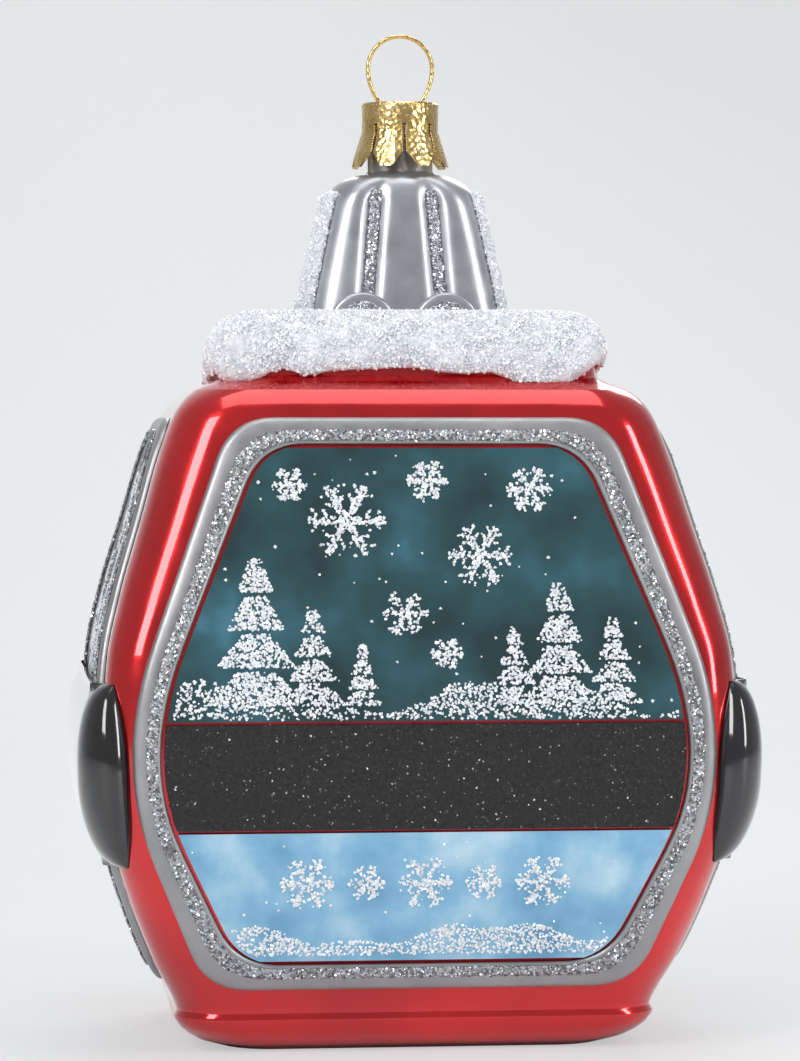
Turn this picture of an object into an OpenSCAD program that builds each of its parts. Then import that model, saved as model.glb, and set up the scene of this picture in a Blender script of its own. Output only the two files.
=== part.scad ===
// Blown-glass tree ornament in the form of a gondola cabin: a hollow glass cabin with a
// hanger and neck, relief window frames, panes and bumpers, glitter snow, and a gilt
// crown cap with a wire loop that pulls off the neck. Millimetres, +Z up, front at -Y.

/* [Cabin] */
// Half width of the cabin at its waist
waist_half_w = 36.4; // [30:0.1:46]
// Half depth of the cabin at its waist
waist_half_d = 29; // [24:0.1:38]
// Height of the cabin from its flat base to the roof step's top
cabin_h = 82; // [68:0.5:100]
// Thickness of the blown glass
glass_wall = 1; // [0.6:0.1:1.6]

/* [Hanger and neck] */
// Half width of the hanger where it meets the roof
hanger_half_w = 12.2; // [10:0.1:15]
// Half depth of the hanger where it meets the roof
hanger_half_d = 8.2; // [7:0.1:10]
// Height of the hanger from roof to shoulder
hanger_h = 20.4; // [17:0.1:25]
// Outer radius of the neck
neck_r = 3.9; // [3.2:0.1:4.7]
// Height of the neck above the shoulder
neck_h = 8; // [6.6:0.1:10]
// Depth of the two grooves in the hanger's faces
groove_depth = 0.7; // [0:0.1:0.8]

/* [Relief] */
// Height of the window frames over the glass
frame_rise = 0.9; // [0.5:0.1:1.2]
// Width of a window frame's band
frame_band = 3.4; // [2.8:0.1:4.2]
// Lower edge of the belt band
belt_low = 26.5; // [24:0.1:29]
// Height of the belt band
belt_h = 12; // [10:0.1:13]
// Thickness of a pane's painted layer
pane_t = 0.5; // [0.3:0.1:0.7]
// How far the bumpers stand out from the cabin
bumper_rise = 3.1; // [2.6:0.1:4]
// Lower edge of the bumpers
bumper_low = 22; // [19:0.5:24]
// Height of the bumpers
bumper_h = 21; // [17:0.5:25]

/* [Glitter and snow] */
// Thickness of the snow on the roof
snow_t = 3.7; // [2.5:0.1:5]
// Thickness of the snow on the roof's sides and on the hanger
snow_side_t = 1; // [0.6:0.1:1.4]
// Thickness of a line of glitter
glitter_t = 0.25; // [0.2:0.05:0.4]

/* [Cap and loop] */
// Thickness of the cap's sheet
cap_sheet = 0.35; // [0.25:0.05:0.5]
// Radius of the cap at the tips of its petals
cap_tip_r = 5.9; // [5.2:0.1:7]
// Number of petals
petals = 8; // [6:1:10]
// Width of the gap between petals
petal_gap = 0.55; // [0.4:0.05:0.8]
// Diameter of the loop's wire
wire_d = 0.5; // [0.4:0.05:0.6]
// Half width of the loop at its wire's centre
loop_half_w = 3.86; // [3.2:0.02:4.6]
// Height of the loop's widest point over the cap
loop_mid_h = 4.2; // [3.5:0.1:5]

/* [Hidden] */

lay = 0.06;            // clearance between a layer and what it lies on
seat = 0.1;            // clearance between the cap and the neck
corner_steps = 5;      // facets round a corner
roof_z = cabin_h;
shoulder_z = roof_z + hanger_h;
neck_top = shoulder_z + neck_h;
cap_top = neck_top + seat + cap_sheet;

// Cabin sections: share of the height, share of the waist's half width and half depth, corner radius.
CABIN = [
    [0,     0.618, 0.60,  6],
    [0.012, 0.69,  0.675, 6],
    [0.032, 0.75,  0.735, 6],
    [0.050, 0.772, 0.757, 6],
    [0.058, 0.762, 0.747, 6],
    [0.068, 0.770, 0.755, 6],
    [0.129, 0.84,  0.825, 6],
    [0.224, 0.923, 0.915, 6],
    [0.30,  0.972, 0.968, 5.5],
    [0.38,  0.996, 0.995, 5],
    [0.44,  1,     1,     5],
    [0.50,  0.998, 0.998, 5],
    [0.56,  0.987, 0.985, 5],
    [0.64,  0.948, 0.94,  5.5],
    [0.75,  0.876, 0.863, 6],
    [0.855, 0.806, 0.79,  6.5],
    [0.905, 0.758, 0.745, 6.5],
    [0.932, 0.70,  0.685, 6.5],
    [0.944, 0.632, 0.62,  6],
    [0.952, 0.604, 0.59,  6],
    [0.992, 0.60,  0.586, 6],
    [1,     0.58,  0.566, 5.5],
];

// Hanger sections: height over the roof, share of its half width and half depth, corner radius.
HANGER = [
    [0.1,               1,    1,    4],
    [0.25 * hanger_h,   0.94, 0.96, 4],
    [0.50 * hanger_h,   0.85, 0.88, 3.8],
    [0.75 * hanger_h,   0.76, 0.81, 3.8],
    [0.88 * hanger_h,   0.70, 0.76, 4.2],
    [0.95 * hanger_h,   0.60, 0.68, 4.6],
    [0.985 * hanger_h,  0.47, 0.60, 4.6],
];
grooves = [-0.4, 0.36];   // places of the hanger's grooves, as shares of its half width
groove_w = 0.9;           // half width of a groove

function column(table, i) = [for (row = table) [row[0], row[i]]];
function half_w(z) = waist_half_w * lookup(z / cabin_h, column(CABIN, 1));
function half_d(z) = waist_half_d * lookup(z / cabin_h, column(CABIN, 2));
function corner(z) = lookup(z / cabin_h, column(CABIN, 3));
function lift_w(z) = hanger_half_w * lookup(z - roof_z, column(HANGER, 1));
function lift_d(z) = hanger_half_d * lookup(z - roof_z, column(HANGER, 2));
function lift_corner(z) = lookup(z - roof_z, column(HANGER, 3));

// A rounded rectangle at height z, anticlockwise from +X, with each side cut into flat_steps.
function plan(a, b, r, z, flat_steps) =
    let (
        s = [[1, 1], [-1, 1], [-1, -1], [1, -1]],
        arcs = [for (k = [0:3]) [for (i = [0:corner_steps])
            let (t = 90 * k + 90 * i / corner_steps)
            [s[k][0] * (a - r) + r * cos(t), s[k][1] * (b - r) + r * sin(t), z]]]
    )
    [for (k = [0:3]) let (from = arcs[k][corner_steps], to = arcs[(k + 1) % 4][0])
        each concat(arcs[k], [for (i = [1:1:flat_steps - 1]) from + (to - from) * i / flat_steps])];

// How far a rounded corner falls back from a side's plane at distance u from its middle.
function fall(u, half, r) =
    let (over = min(abs(u) - (half - r), r)) over <= 0 ? 0 : r - sqrt(r * r - over * over);

// A point on a cabin wall: face 0 front, 1 right, 2 back, 3 left; u along it, rise outwards.
function wall(face, u, z, rise) =
    let (
        wide = face % 2 == 0,
        reach = (wide ? half_d(z) : half_w(z)) - fall(u, wide ? half_w(z) : half_d(z), corner(z)) + rise
    )
    face == 0 ? [u, -reach, z] : face == 1 ? [reach, u, z] : face == 2 ? [-u, reach, z] : [-reach, -u, z];

// A solid through loops of equal, even length: capped at its ends, or closed on itself with
// wrap. A cap is a strip between the two halves of its loop.
module loft(loops, wrap = false, flip = false) {
    n = len(loops[0]);
    m = len(loops);
    sides = [for (i = [0:m - (wrap ? 1 : 2)]) for (j = [0:n - 1])
        let (a = i * n + j, b = i * n + (j + 1) % n, c = ((i + 1) % m) * n + j, d = ((i + 1) % m) * n + (j + 1) % n)
        each [[a, c, b], [b, c, d]]];
    top = (m - 1) * n;
    ends = wrap ? [] : [for (j = [0:n / 2 - 2])
        let (a = j, b = j + 1, c = n - 2 - j, d = n - 1 - j)
        each [[a, b, c], [a, c, d], [top + c, top + b, top + a], [top + d, top + c, top + a]]];
    faces = concat(sides, ends);
    polyhedron([for (l = loops) each l], flip ? [for (f = faces) [for (i = [len(f) - 1:-1:0]) f[i]]] : faces,
        convexity = 6);
}

// A corner with its two tangent points, rounded by a curve of 'steps' parts.
function bend(a, p, b, r, steps) =
    let (
        s = p + (a - p) * min(r / norm(a - p), 0.45),
        e = p + (b - p) * min(r / norm(b - p), 0.45)
    )
    [for (i = [0:steps]) let (t = i / steps) s * (1 - t) * (1 - t) + p * 2 * t * (1 - t) + e * t * t];

// A window outline from three half widths: top, waist, bottom; anticlockwise seen from outside.
function outline(top, mid, low, z) =
    let (
        p = [[low, z[2]], [mid, z[1]], [top, z[0]], [-top, z[0]], [-mid, z[1]], [-low, z[2]]],
        soft = [5, 14, 5, 5, 14, 5],
        arcs = [for (k = [0:5]) bend(p[(k + 5) % 6], p[k], p[(k + 1) % 6], soft[k], 4)]
    )
    [for (k = [0:5]) let (from = arcs[k][4], to = arcs[(k + 1) % 6][0])
        each concat(arcs[k], [for (i = [1:5]) from + (to - from) * i / 6])];

side_trim = 4.6;    // how much narrower the side windows are, so that their frames stay on the flat wall
bed = 0.16;         // clearance under a frame, which spans between its corners

// Window openings: half widths at the top, waist and bottom, on the broad and narrow walls.
frame_z = [0.856 * cabin_h, 0.42 * cabin_h, 0.13 * cabin_h];
function opening(face) =
    let (k = face % 2 == 0 ? waist_half_w : waist_half_d, trim = face % 2 == 0 ? 0 : side_trim)
    [0.505 * k - trim, 0.9 * k - trim, 0.585 * k - trim];
function inner_edge(face) =
    let (o = opening(face)) outline(o[0], o[1], o[2], frame_z);
function outer_edge(face) =
    let (o = opening(face), g = frame_band)
    outline(o[0] + g, o[1] + g - 0.4, o[2] + g, [frame_z[0] + 0.9 * g, frame_z[1], frame_z[2] - 0.9 * g]);
function mix(face, f) = let (a = inner_edge(face), b = outer_edge(face)) [for (i = [0:len(a) - 1]) a[i] + (b[i] - a[i]) * f];

// A closed band round a window: rows of [share from inner to outer edge, rise].
module window_ring(face, rows)
    loft([for (r = rows) [for (p = mix(face, r[0])) wall(face, p[0], p[1], r[1])]], wrap = true, flip = true);

module window_frame(face) {
    h = frame_rise;
    window_ring(face, [[0, bed], [0.02, 0.75 * h], [0.12, h], [0.86, h], [0.97, 0.6 * h], [1, bed], [0.7, bed], [0.35, bed]]);
}

// Half width of a pane at height z: the opening's own edge less a margin.
function open_half(face, z) = lookup(z, [for (p = inner_edge(face))
    if (p[0] > 0 && p[1] < frame_z[0] - 0.01 && p[1] > frame_z[2] + 0.01) [p[1], p[0]]]) - pane_edge;

// A layer on a wall between two heights, inside the window's opening.
module layer(face, low, high, rise, t, steps) {
    spots = [-1, -0.93, -0.85, -0.4, 0.4, 0.85, 0.93, 1];
    last = len(spots) - 1;
    loft([for (i = [0:steps])
        let (z = low + (high - low) * i / steps, u = spots * open_half(face, z))
        concat([for (x = u) wall(face, x, z, rise + t)],
               [for (j = [last:-1:0]) wall(face, u[j], z, rise)])]);
}

pane_edge = 0.45;  // margin between a pane and its frame
belt_high = belt_low + belt_h;

module cabin_glass() color("#8e1420") {
    outer = [for (r = CABIN) plan(half_w(r[0] * cabin_h), half_d(r[0] * cabin_h), r[3], r[0] * cabin_h, 1)];
    mouth = glass_wall + 1;
    low = glass_wall;
    high = cabin_h - glass_wall;
    mids = [for (r = CABIN) let (z = r[0] * cabin_h) if (z > low + 0.4 && z < high - 0.4) z];
    inside = concat([low], mids, [high]);
    inner = [for (k = [len(inside) - 1:-1:0]) let (z = inside[k])
        plan(half_w(z) - glass_wall, half_d(z) - glass_wall, corner(z) - glass_wall, z, 1)];
    rim = [for (z = [cabin_h, cabin_h - glass_wall])
        plan(hanger_half_w - mouth, hanger_half_d - mouth, 4 - glass_wall, z, 1)];
    loft(concat(outer, rim, inner));
}

// A hanger section with its two grooves pressed into the front and back faces.
function lift_plan(z, inset, dent) =
    [for (p = plan(lift_w(z) - inset, lift_d(z) - inset, max(lift_corner(z) - inset, 1), z, 12))
        let (
            a = lift_w(z),
            press = max([for (g = grooves) exp(-pow((p[0] - g * a) / groove_w, 2))]),
            broad = abs(p[1]) > 0.6 * lift_d(z) ? 1 : 0
        )
        [p[0], p[1] - sign(p[1]) * dent * press * broad, p[2]]];

// A circle with as many points as a hanger section, which each point faces.
function neck_ring(r, z) = [for (p = plan(1, 1, 0.999, z, 12)) let (q = norm([p[0], p[1]])) [p[0] / q * r, p[1] / q * r, z]];

module hanger_glass() color("#b9bcc2") {
    zs = [for (row = HANGER) roof_z + row[0]];
    n = len(zs);
    bore_r = neck_r - 0.9 * glass_wall;
    loft(concat(
        [for (k = [0:n - 1]) lift_plan(zs[k], 0, k == n - 1 ? 0 : groove_depth)],
        [neck_ring(neck_r, shoulder_z), neck_ring(neck_r, neck_top), neck_ring(bore_r, neck_top),
         neck_ring(bore_r, shoulder_z - glass_wall)],
        [for (k = [n - 2:-1:0]) lift_plan(zs[k] - (k > n - 4 ? glass_wall : 0), 1.6 * glass_wall, 0)]
    ), wrap = true);
}

module front_frame() color("#9a9ca0") window_frame(0);
module right_frame() color("#9a9ca0") window_frame(1);
module back_frame() color("#9a9ca0") window_frame(2);
module left_frame() color("#9a9ca0") window_frame(3);

module upper_panes() color("#1f4650")
    for (face = [0:3]) layer(face, belt_high + pane_edge, frame_z[0] - pane_edge, bed, pane_t, 9);

module lower_panes() color("#7fb4d6")
    for (face = [0:3]) layer(face, frame_z[2] + pane_edge, belt_low - pane_edge, bed, pane_t, 6);

module belt_bands() color("#151515")
    for (face = [0:3]) layer(face, belt_low, belt_high, bed, pane_t + glitter_t, 4);

module frame_glitter() color("#e6e8ea") {
    low = frame_rise + lay;
    for (face = [0:3])
        window_ring(face, [[0.2, low], [0.2, low + glitter_t], [0.68, low + glitter_t], [0.68, low]]);
}

// A bumper's rise at a height share v and a share e of the way round its side.
function swell(v, e) = pow(max(1 - pow(abs(2 * v - 1), 2.6), 0.02), 0.5) * pow(max(1 - pow(abs(e), 9), 0.02), 0.5);

// Points round one side of the cabin, from its front wall to its back wall, at rise.
wrap_from = 28;     // how far round its corners a bumper stops short of the broad walls, in degrees
wrap_taper = 26;    // how much further it stops short at its upper and lower ends
bumper_step = 0.8;  // stretch over which a bumper's back steps out over the side frame
function side_path(z, v, base) =
    let (
        a = half_w(z), b = half_d(z), r = corner(z),
        over = frame_rise + glitter_t + 5 * lay,
        start = wrap_from + wrap_taper * pow(abs(2 * v - 1), 2.5),
        turn = [for (i = [0:6]) start + (90 - start) * i / 6],
        tail = [for (i = [0:6]) (90 - start) * i / 6],
        pad = [for (i = [0:8]) (b - r - bumper_step) * (1 - 2 * i / 8)],
        front = [for (t = turn) [[a - r, -(b - r)], [sin(t), -cos(t)], r]],
        side = [for (y = pad) [[a, -y], [1, 0], 0]],
        back = [for (t = tail) [[a - r, b - r], [cos(t), sin(t)], r]],
        spots = concat(front, side, back),
        n = len(spots) - 1
    )
    [for (i = [0:n])
        let (
            s = spots[i],
            e = 2 * i / n - 1,
            plain = s[2] > 0,
            low = plain ? bed : over,
            rise = base ? low : max(bumper_rise * swell(v, e), low + 0.25)
        )
        [s[0][0] + s[1][0] * (s[2] + rise), s[0][1] + s[1][1] * (s[2] + rise), z]];

module bumper() {
    steps = 10;
    loft([for (i = [0:steps])
        let (v = i / steps, z = bumper_low + bumper_h * v, outer = side_path(z, v, false), inner = side_path(z, v, true))
        concat(outer, [for (j = [len(inner) - 1:-1:0]) inner[j]])]);
}
module right_bumper() color("#0d0d0f") bumper();
module left_bumper() color("#0d0d0f") rotate([0, 0, 180]) bumper();

// The snow's lower edge: a wavy hem with drips, at a share t of the way round.
function hem(t) = 0.6 * sin(360 * 5 * t + 40) + 0.35 * sin(360 * 9 * t) + 0.2 * sin(360 * 14 * t + 70);

step_z = 0.953 * cabin_h;  // foot of the roof step's upright side

module roof_snow() color("#f1f3f5") {
    a = half_w(step_z) + 3 * lay;
    b = half_d(step_z) + 3 * lay;
    hem_z = step_z + 1.6;
    t = snow_side_t;
    w = hanger_half_w + snow_side_t + 3 * lay;
    d = hanger_half_d + 4 * lay;
    top = roof_z + snow_t;
    // Rows of [half width, half depth, corner radius, height, share of the hem's waves].
    rows = [
        [w, d, 4, roof_z + lay, 0],
        [a - 0.5, b - 0.5, 5.4, roof_z + 2 * lay, 0],
        [a, b, 6, roof_z - 1, 0],
        [a, b, 6, hem_z, 1],
        [a + 0.6 * t, b + 0.6 * t, 6, hem_z - 0.3, 1],
        [a + t, b + t, 6, hem_z + 0.5, 1],
        [a + t, b + t, 6, roof_z + 0.2 * snow_t, 0.2],
        [a + 0.5 * t, b + 0.5 * t, 6, roof_z + 0.65 * snow_t, 0.1],
        [a - 1.6, b - 1.6, 6, top - 0.25, 0.05],
        [a - 5, b - 5, 5, top, 0],
        [w, d, 4, top - 0.2, 0],
    ];
    loft([for (r = rows) let (ring = plan(r[0], r[1], r[2], 0, 9), n = len(ring))
        [for (i = [0:n - 1]) [ring[i][0], ring[i][1], r[3] + r[4] * hem(i / n)]]], wrap = true);
}

side_snow_from = -34;  // how far round the hanger's corners its snow reaches, in degrees

// Snow on a narrow side of the hanger: the strip of its sections that faces that way.
module side_snow() {
    steps = 7;
    low = roof_z + snow_t + 0.15;
    high = shoulder_z - 2.4;
    loft([for (i = [0:steps])
        let (
            z = low + (high - low) * i / steps,
            a = lift_w(z), b = lift_d(z), r = lift_corner(z),
            strip = concat(
                [for (k = [0:3]) let (q = side_snow_from * (1 - k / 3)) [[a - r, -(b - r)], q]],
                [for (k = [0:3]) let (q = -side_snow_from * k / 3) [[a - r, b - r], q]]),
            out = [for (s = strip) [s[0][0] + (r + snow_side_t) * cos(s[1]), s[0][1] + (r + snow_side_t) * sin(s[1]), z]],
            back = [for (s = strip) [s[0][0] + (r + 2 * lay) * cos(s[1]), s[0][1] + (r + 2 * lay) * sin(s[1]), z]]
        )
        concat(out, [for (j = [7:-1:0]) back[j]])]);
}
module right_hanger_snow() color("#f4f5f7") side_snow();
module left_hanger_snow() color("#f4f5f7") rotate([0, 0, 180]) side_snow();

// Strips of glitter that lie in the hanger's grooves, front and back.
module hanger_glitter() color("#e6e8ea") {
    steps = 6;
    low = roof_z + snow_t + 1.2;
    high = shoulder_z - 2.2;
    strip_w = 0.6;
    for (side = [1, -1]) for (g = grooves)
        loft([for (i = [0:steps])
            let (
                z = low + (high - low) * i / steps,
                x = g * lift_w(z),
                near = -(lift_d(z) - 0.35 * groove_depth + lay),
                far = near - glitter_t
            )
            [for (p = [[x - strip_w, far], [x + strip_w, far], [x + strip_w, near], [x - strip_w, near]])
                [p[0] * side, p[1] * side, z]]]);
}

// Half rings of glitter on the wheel reliefs at the hanger's foot, above the snow.
module wheel_glitter() color("#e6e8ea") {
    ring_r = 3.2;
    band = 0.55;
    steps = 8;
    foot = roof_z + snow_t + 0.5;
    for (side = [1, -1]) for (g = grooves)
        loft([for (i = [0:steps])
            let (t = 12 + 156 * i / steps, cx = g * lift_w(foot) + (g < 0 ? -1.1 : 1.1))
            [for (q = [[ring_r, 1], [ring_r + band, 1], [ring_r + band, 0], [ring_r, 0]])
                let (
                    x = cx + q[0] * cos(t),
                    z = foot - 1.8 + q[0] * sin(t),
                    y = -(hanger_half_d * 0.985 + lay + q[1] * glitter_t)
                )
                [x * side, y * side, max(z, foot - 0.1 + 0.02 * q[0])]]]);
}

cap_skirt = 0.92 * neck_h;             // height of the cap's skirt
cap_r = neck_r + seat + cap_sheet + 0.1;

module crown_cap() color("#c9a24a") {
    tip = cap_top - cap_skirt - cap_sheet;
    difference() {
        rotate_extrude($fn = 64)
            polygon([[0, cap_top - cap_sheet], [cap_r - cap_sheet, cap_top - cap_sheet],
                     [cap_r - cap_sheet, cap_top - 0.45 * cap_skirt], [cap_tip_r - cap_sheet, tip],
                     [cap_tip_r, tip], [cap_r + 0.1, cap_top - 0.45 * cap_skirt],
                     [cap_r + 0.15, cap_top - 0.2], [cap_r, cap_top], [0, cap_top]]);
        for (k = [0:petals - 1]) rotate([0, 0, 360 / petals * k - 90])
            rotate([90, 0, 90]) linear_extrude(height = cap_tip_r + 2)
                polygon([[-petal_gap / 2, cap_top - 0.35 * cap_skirt], [petal_gap / 2, cap_top - 0.35 * cap_skirt],
                         [petal_gap / 2, tip + 1.6], [1.7, tip - 0.1], [-1.7, tip - 0.1],
                         [-petal_gap / 2, tip + 1.6]]);
        for (s = [1, -1]) translate([s * leg_x, 0, cap_top - 2 * cap_sheet])
            cylinder(h = 4 * cap_sheet, r = wire_d / 2 + 0.08, $fn = 32);
    }
}

leg_x = 0.61 * (neck_r - 0.05);   // place of each leg of the loop
leg_low = cap_top - 1.3 * neck_h; // how far the legs reach down inside the neck

module hanging_loop() color("#d8b45a") {
    reach = (pow(loop_half_w - leg_x, 2) + pow(loop_mid_h, 2)) / (2 * (loop_half_w - leg_x));
    sweep_deg = asin(loop_mid_h / reach);
    mid_z = cap_top + loop_mid_h;
    wire_r = wire_d / 2;
    translate([0, 0, mid_z]) rotate([90, 0, 0]) rotate_extrude(angle = 180, $fn = 64)
        translate([loop_half_w, 0]) circle(r = wire_r, $fn = 32);
    for (s = [0, 180]) rotate([0, 0, s]) {
        translate([loop_half_w - reach, 0, mid_z]) rotate([90, 0, 0]) rotate([0, 0, -sweep_deg])
            rotate_extrude(angle = sweep_deg, $fn = 64) translate([reach, 0]) circle(r = wire_r, $fn = 32);
        translate([loop_half_w, 0, mid_z]) sphere(r = wire_r + 0.01, $fn = 32);
        translate([leg_x, 0, cap_top]) sphere(r = wire_r + 0.01, $fn = 32);
        translate([leg_x, 0, leg_low]) cylinder(h = cap_top - leg_low, r = wire_r, $fn = 32);
    }
}

cabin_glass();
hanger_glass();
front_frame();
back_frame();
left_frame();
right_frame();
upper_panes();
lower_panes();
belt_bands();
frame_glitter();
left_bumper();
right_bumper();
roof_snow();
left_hanger_snow();
right_hanger_snow();
hanger_glitter();
wheel_glitter();
crown_cap();
hanging_loop();
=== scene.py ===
"""Looks of a blown-glass gondola-cabin tree ornament.

Smooth lacquered glass, relief frames, glitter and snow as loose crystals. Sizes are in
millimetres and have the names and values of the CAD source.
"""

import math

import bmesh
import bpy
import numpy as np
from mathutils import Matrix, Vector

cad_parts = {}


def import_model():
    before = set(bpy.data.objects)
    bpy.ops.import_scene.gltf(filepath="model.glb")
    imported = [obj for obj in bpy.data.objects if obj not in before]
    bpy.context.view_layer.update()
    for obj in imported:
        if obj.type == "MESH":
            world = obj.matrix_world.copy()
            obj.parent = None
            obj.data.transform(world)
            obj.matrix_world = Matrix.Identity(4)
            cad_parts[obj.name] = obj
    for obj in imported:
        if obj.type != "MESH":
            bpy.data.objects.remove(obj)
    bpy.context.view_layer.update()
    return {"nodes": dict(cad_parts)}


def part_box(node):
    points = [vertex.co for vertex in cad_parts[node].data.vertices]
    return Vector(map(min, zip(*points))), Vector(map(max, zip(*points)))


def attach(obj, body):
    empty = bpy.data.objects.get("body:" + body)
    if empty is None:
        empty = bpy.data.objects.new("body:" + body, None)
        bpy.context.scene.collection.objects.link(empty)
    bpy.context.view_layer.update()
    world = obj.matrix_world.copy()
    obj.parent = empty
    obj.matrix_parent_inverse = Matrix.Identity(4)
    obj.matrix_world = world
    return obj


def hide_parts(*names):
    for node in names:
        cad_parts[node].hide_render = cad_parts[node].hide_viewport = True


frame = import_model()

MM = 0.001
rng = np.random.default_rng(7)

# ---------------------------------------------------------------- sizes
WAIST_W, WAIST_D, CABIN_H = 36.4, 29.0, 82.0
HANGER_W, HANGER_D, HANGER_H = 12.2, 8.2, 20.4
NECK_R, NECK_H = 3.9, 8.0
FRAME_RISE, FRAME_BAND = 0.9, 3.4
BELT_LOW, BELT_HIGH = 26.5, 38.5
PANE_T, PANE_EDGE, LAY, GLITTER_T = 0.5, 0.45, 0.06, 0.25
BUMPER_RISE, BUMPER_LOW, BUMPER_H = 3.1, 22.0, 21.0
SNOW_T, SNOW_SIDE = 3.7, 1.0
SHOULDER = CABIN_H + HANGER_H
SIDE_TRIM, WRAP_FROM, WRAP_TAPER, SIDE_SNOW_FROM = 4.6, 28, 26, -34
GLASS_T, HANGER_T, NECK_T, ROOF_LIP = 1, 1.8, 0.9, 2
PANE_GAP = 0.35
PETALS = 8
FRAME_Z = [0.856 * CABIN_H, 0.42 * CABIN_H, 0.13 * CABIN_H]

# Cabin sections: share of height, of half width, of half depth, corner radius.
CABIN = np.array([
    [0, 0.618, 0.60, 6], [0.012, 0.69, 0.675, 6], [0.032, 0.75, 0.735, 6],
    [0.050, 0.772, 0.757, 6], [0.058, 0.762, 0.747, 6], [0.068, 0.770, 0.755, 6],
    [0.129, 0.84, 0.825, 6], [0.224, 0.923, 0.915, 6], [0.30, 0.972, 0.968, 5.5],
    [0.38, 0.996, 0.995, 5], [0.44, 1, 1, 5], [0.50, 0.998, 0.998, 5],
    [0.56, 0.987, 0.985, 5], [0.64, 0.948, 0.94, 5.5], [0.75, 0.876, 0.863, 6],
    [0.855, 0.806, 0.79, 6.5], [0.905, 0.758, 0.745, 6.5], [0.932, 0.70, 0.685, 6.5],
    [0.944, 0.632, 0.62, 6], [0.952, 0.604, 0.59, 6], [0.992, 0.60, 0.586, 6],
    [1, 0.58, 0.566, 5.5]])
# Hanger sections: height over the roof, share of half width, of half depth, corner radius.
HANGER = np.array([
    [0.1, 1, 1, 4], [0.25 * HANGER_H, 0.94, 0.96, 4], [0.50 * HANGER_H, 0.85, 0.88, 3.8],
    [0.75 * HANGER_H, 0.76, 0.81, 3.8], [0.88 * HANGER_H, 0.70, 0.76, 4.2],
    [0.95 * HANGER_H, 0.60, 0.68, 4.6], [0.985 * HANGER_H, 0.47, 0.60, 4.6]])
# Grooves between the hanger's lobes: place as a share of its half width.
GROOVES = [-0.4, 0.36]
GROOVE_WIDE, GROOVE_DEEP = 1.15, 1.0

# Moulding of a window frame: share of the way from its inner to its outer edge, rise.
MOULDING = [
    (0.0, LAY), (0.0, 0.45), (0.03, 0.68), (0.1, 0.82), (0.25, FRAME_RISE),
    (0.6, FRAME_RISE), (0.85, 0.84), (0.95, 0.66), (1.0, 0.42), (1.0, LAY)]
# Line of glitter on that moulding: share of the way across, rise over its top.
GLITTER_LINE = [(0.14, 0), (0.14, 0.1), (0.22, 0.16), (0.44, 0.16), (0.52, 0.1), (0.52, 0)]
# Line of glitter in a groove of the hanger: across, out.
GROOVE_LINE = [(-0.62, 0), (-0.55, 0.35), (0, 0.5), (0.55, 0.35), (0.62, 0), (0, -0.05)]
# Wheel relief and the ring of glitter on it: radius, rise.
WHEEL_DOME = [(4.1, 0), (4.05, 0.7), (3.7, 0.98), (3.0, 0.9), (1.8, 0.9), (0.9, 1.0), (0.3, 1.02)]
WHEEL_RING = [(1.8, 0), (1.8, 0.1), (2.35, 0.16), (2.9, 0.1), (2.9, 0), (2.35, -0.02)]

# Motifs on the panes. Places across are shares of the window's half width over the belt.
MOTIF_TRIES = [60000, 40000, 60000, 40000]
# Firs: place across, height.
FIRS = [(-0.66, 17), (-0.44, 11), (-0.25, 7), (0.34, 9), (0.52, 14), (0.73, 10)]
# Snowflakes on the upper pane, then the row on the lower one: place across, height, radius.
FLAKES = [
    (-0.30, 61.5, 4.4), (0.22, 57.5, 3.6), (0.02, 66, 2.4), (0.42, 65, 2.6),
    (-0.08, 51, 2.6), (-0.52, 65.5, 2.0), (0.08, 46.5, 1.8),
    (-0.46, 20.3, 3.1), (-0.23, 20.3, 2.1), (0.0, 20.3, 3.1), (0.23, 20.3, 2.1), (0.46, 20.3, 3.1)]


def curve(table, col, at):
    """A smooth curve through a table's rows that never overshoots them."""
    x, y = table[:, 0], table[:, col]
    h, d = np.diff(x), np.diff(y) / np.diff(x)
    m = np.zeros(len(x))
    inner = d[:-1] * d[1:] > 0
    w1, w2 = 2 * h[1:] + h[:-1], h[1:] + 2 * h[:-1]
    safe0, safe1 = np.where(inner, d[:-1], 1), np.where(inner, d[1:], 1)
    m[1:-1] = np.where(inner, (w1 + w2) / (w1 / safe0 + w2 / safe1), 0)
    m[0], m[-1] = d[0], d[-1]
    at = min(max(at, x[0]), x[-1])
    k = min(int(np.searchsorted(x, at, side="right")) - 1, len(x) - 2)
    t = (at - x[k]) / h[k]
    return ((1 + 2 * t) * (1 - t) ** 2 * y[k] + t * (1 - t) ** 2 * h[k] * m[k]
            + t * t * (3 - 2 * t) * y[k + 1] + t * t * (t - 1) * h[k] * m[k + 1])


def half_w(z):
    return WAIST_W * curve(CABIN, 1, z / CABIN_H)


def half_d(z):
    return WAIST_D * curve(CABIN, 2, z / CABIN_H)


def corner(z):
    return curve(CABIN, 3, z / CABIN_H)


def lift_w(z):
    """The hanger's half width; lift_d is its half depth, lift_corner its corner radius."""
    return HANGER_W * curve(HANGER, 1, z - CABIN_H)


def lift_d(z):
    return HANGER_D * curve(HANGER, 2, z - CABIN_H)


def lift_corner(z):
    return curve(HANGER, 3, z - CABIN_H)


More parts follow.
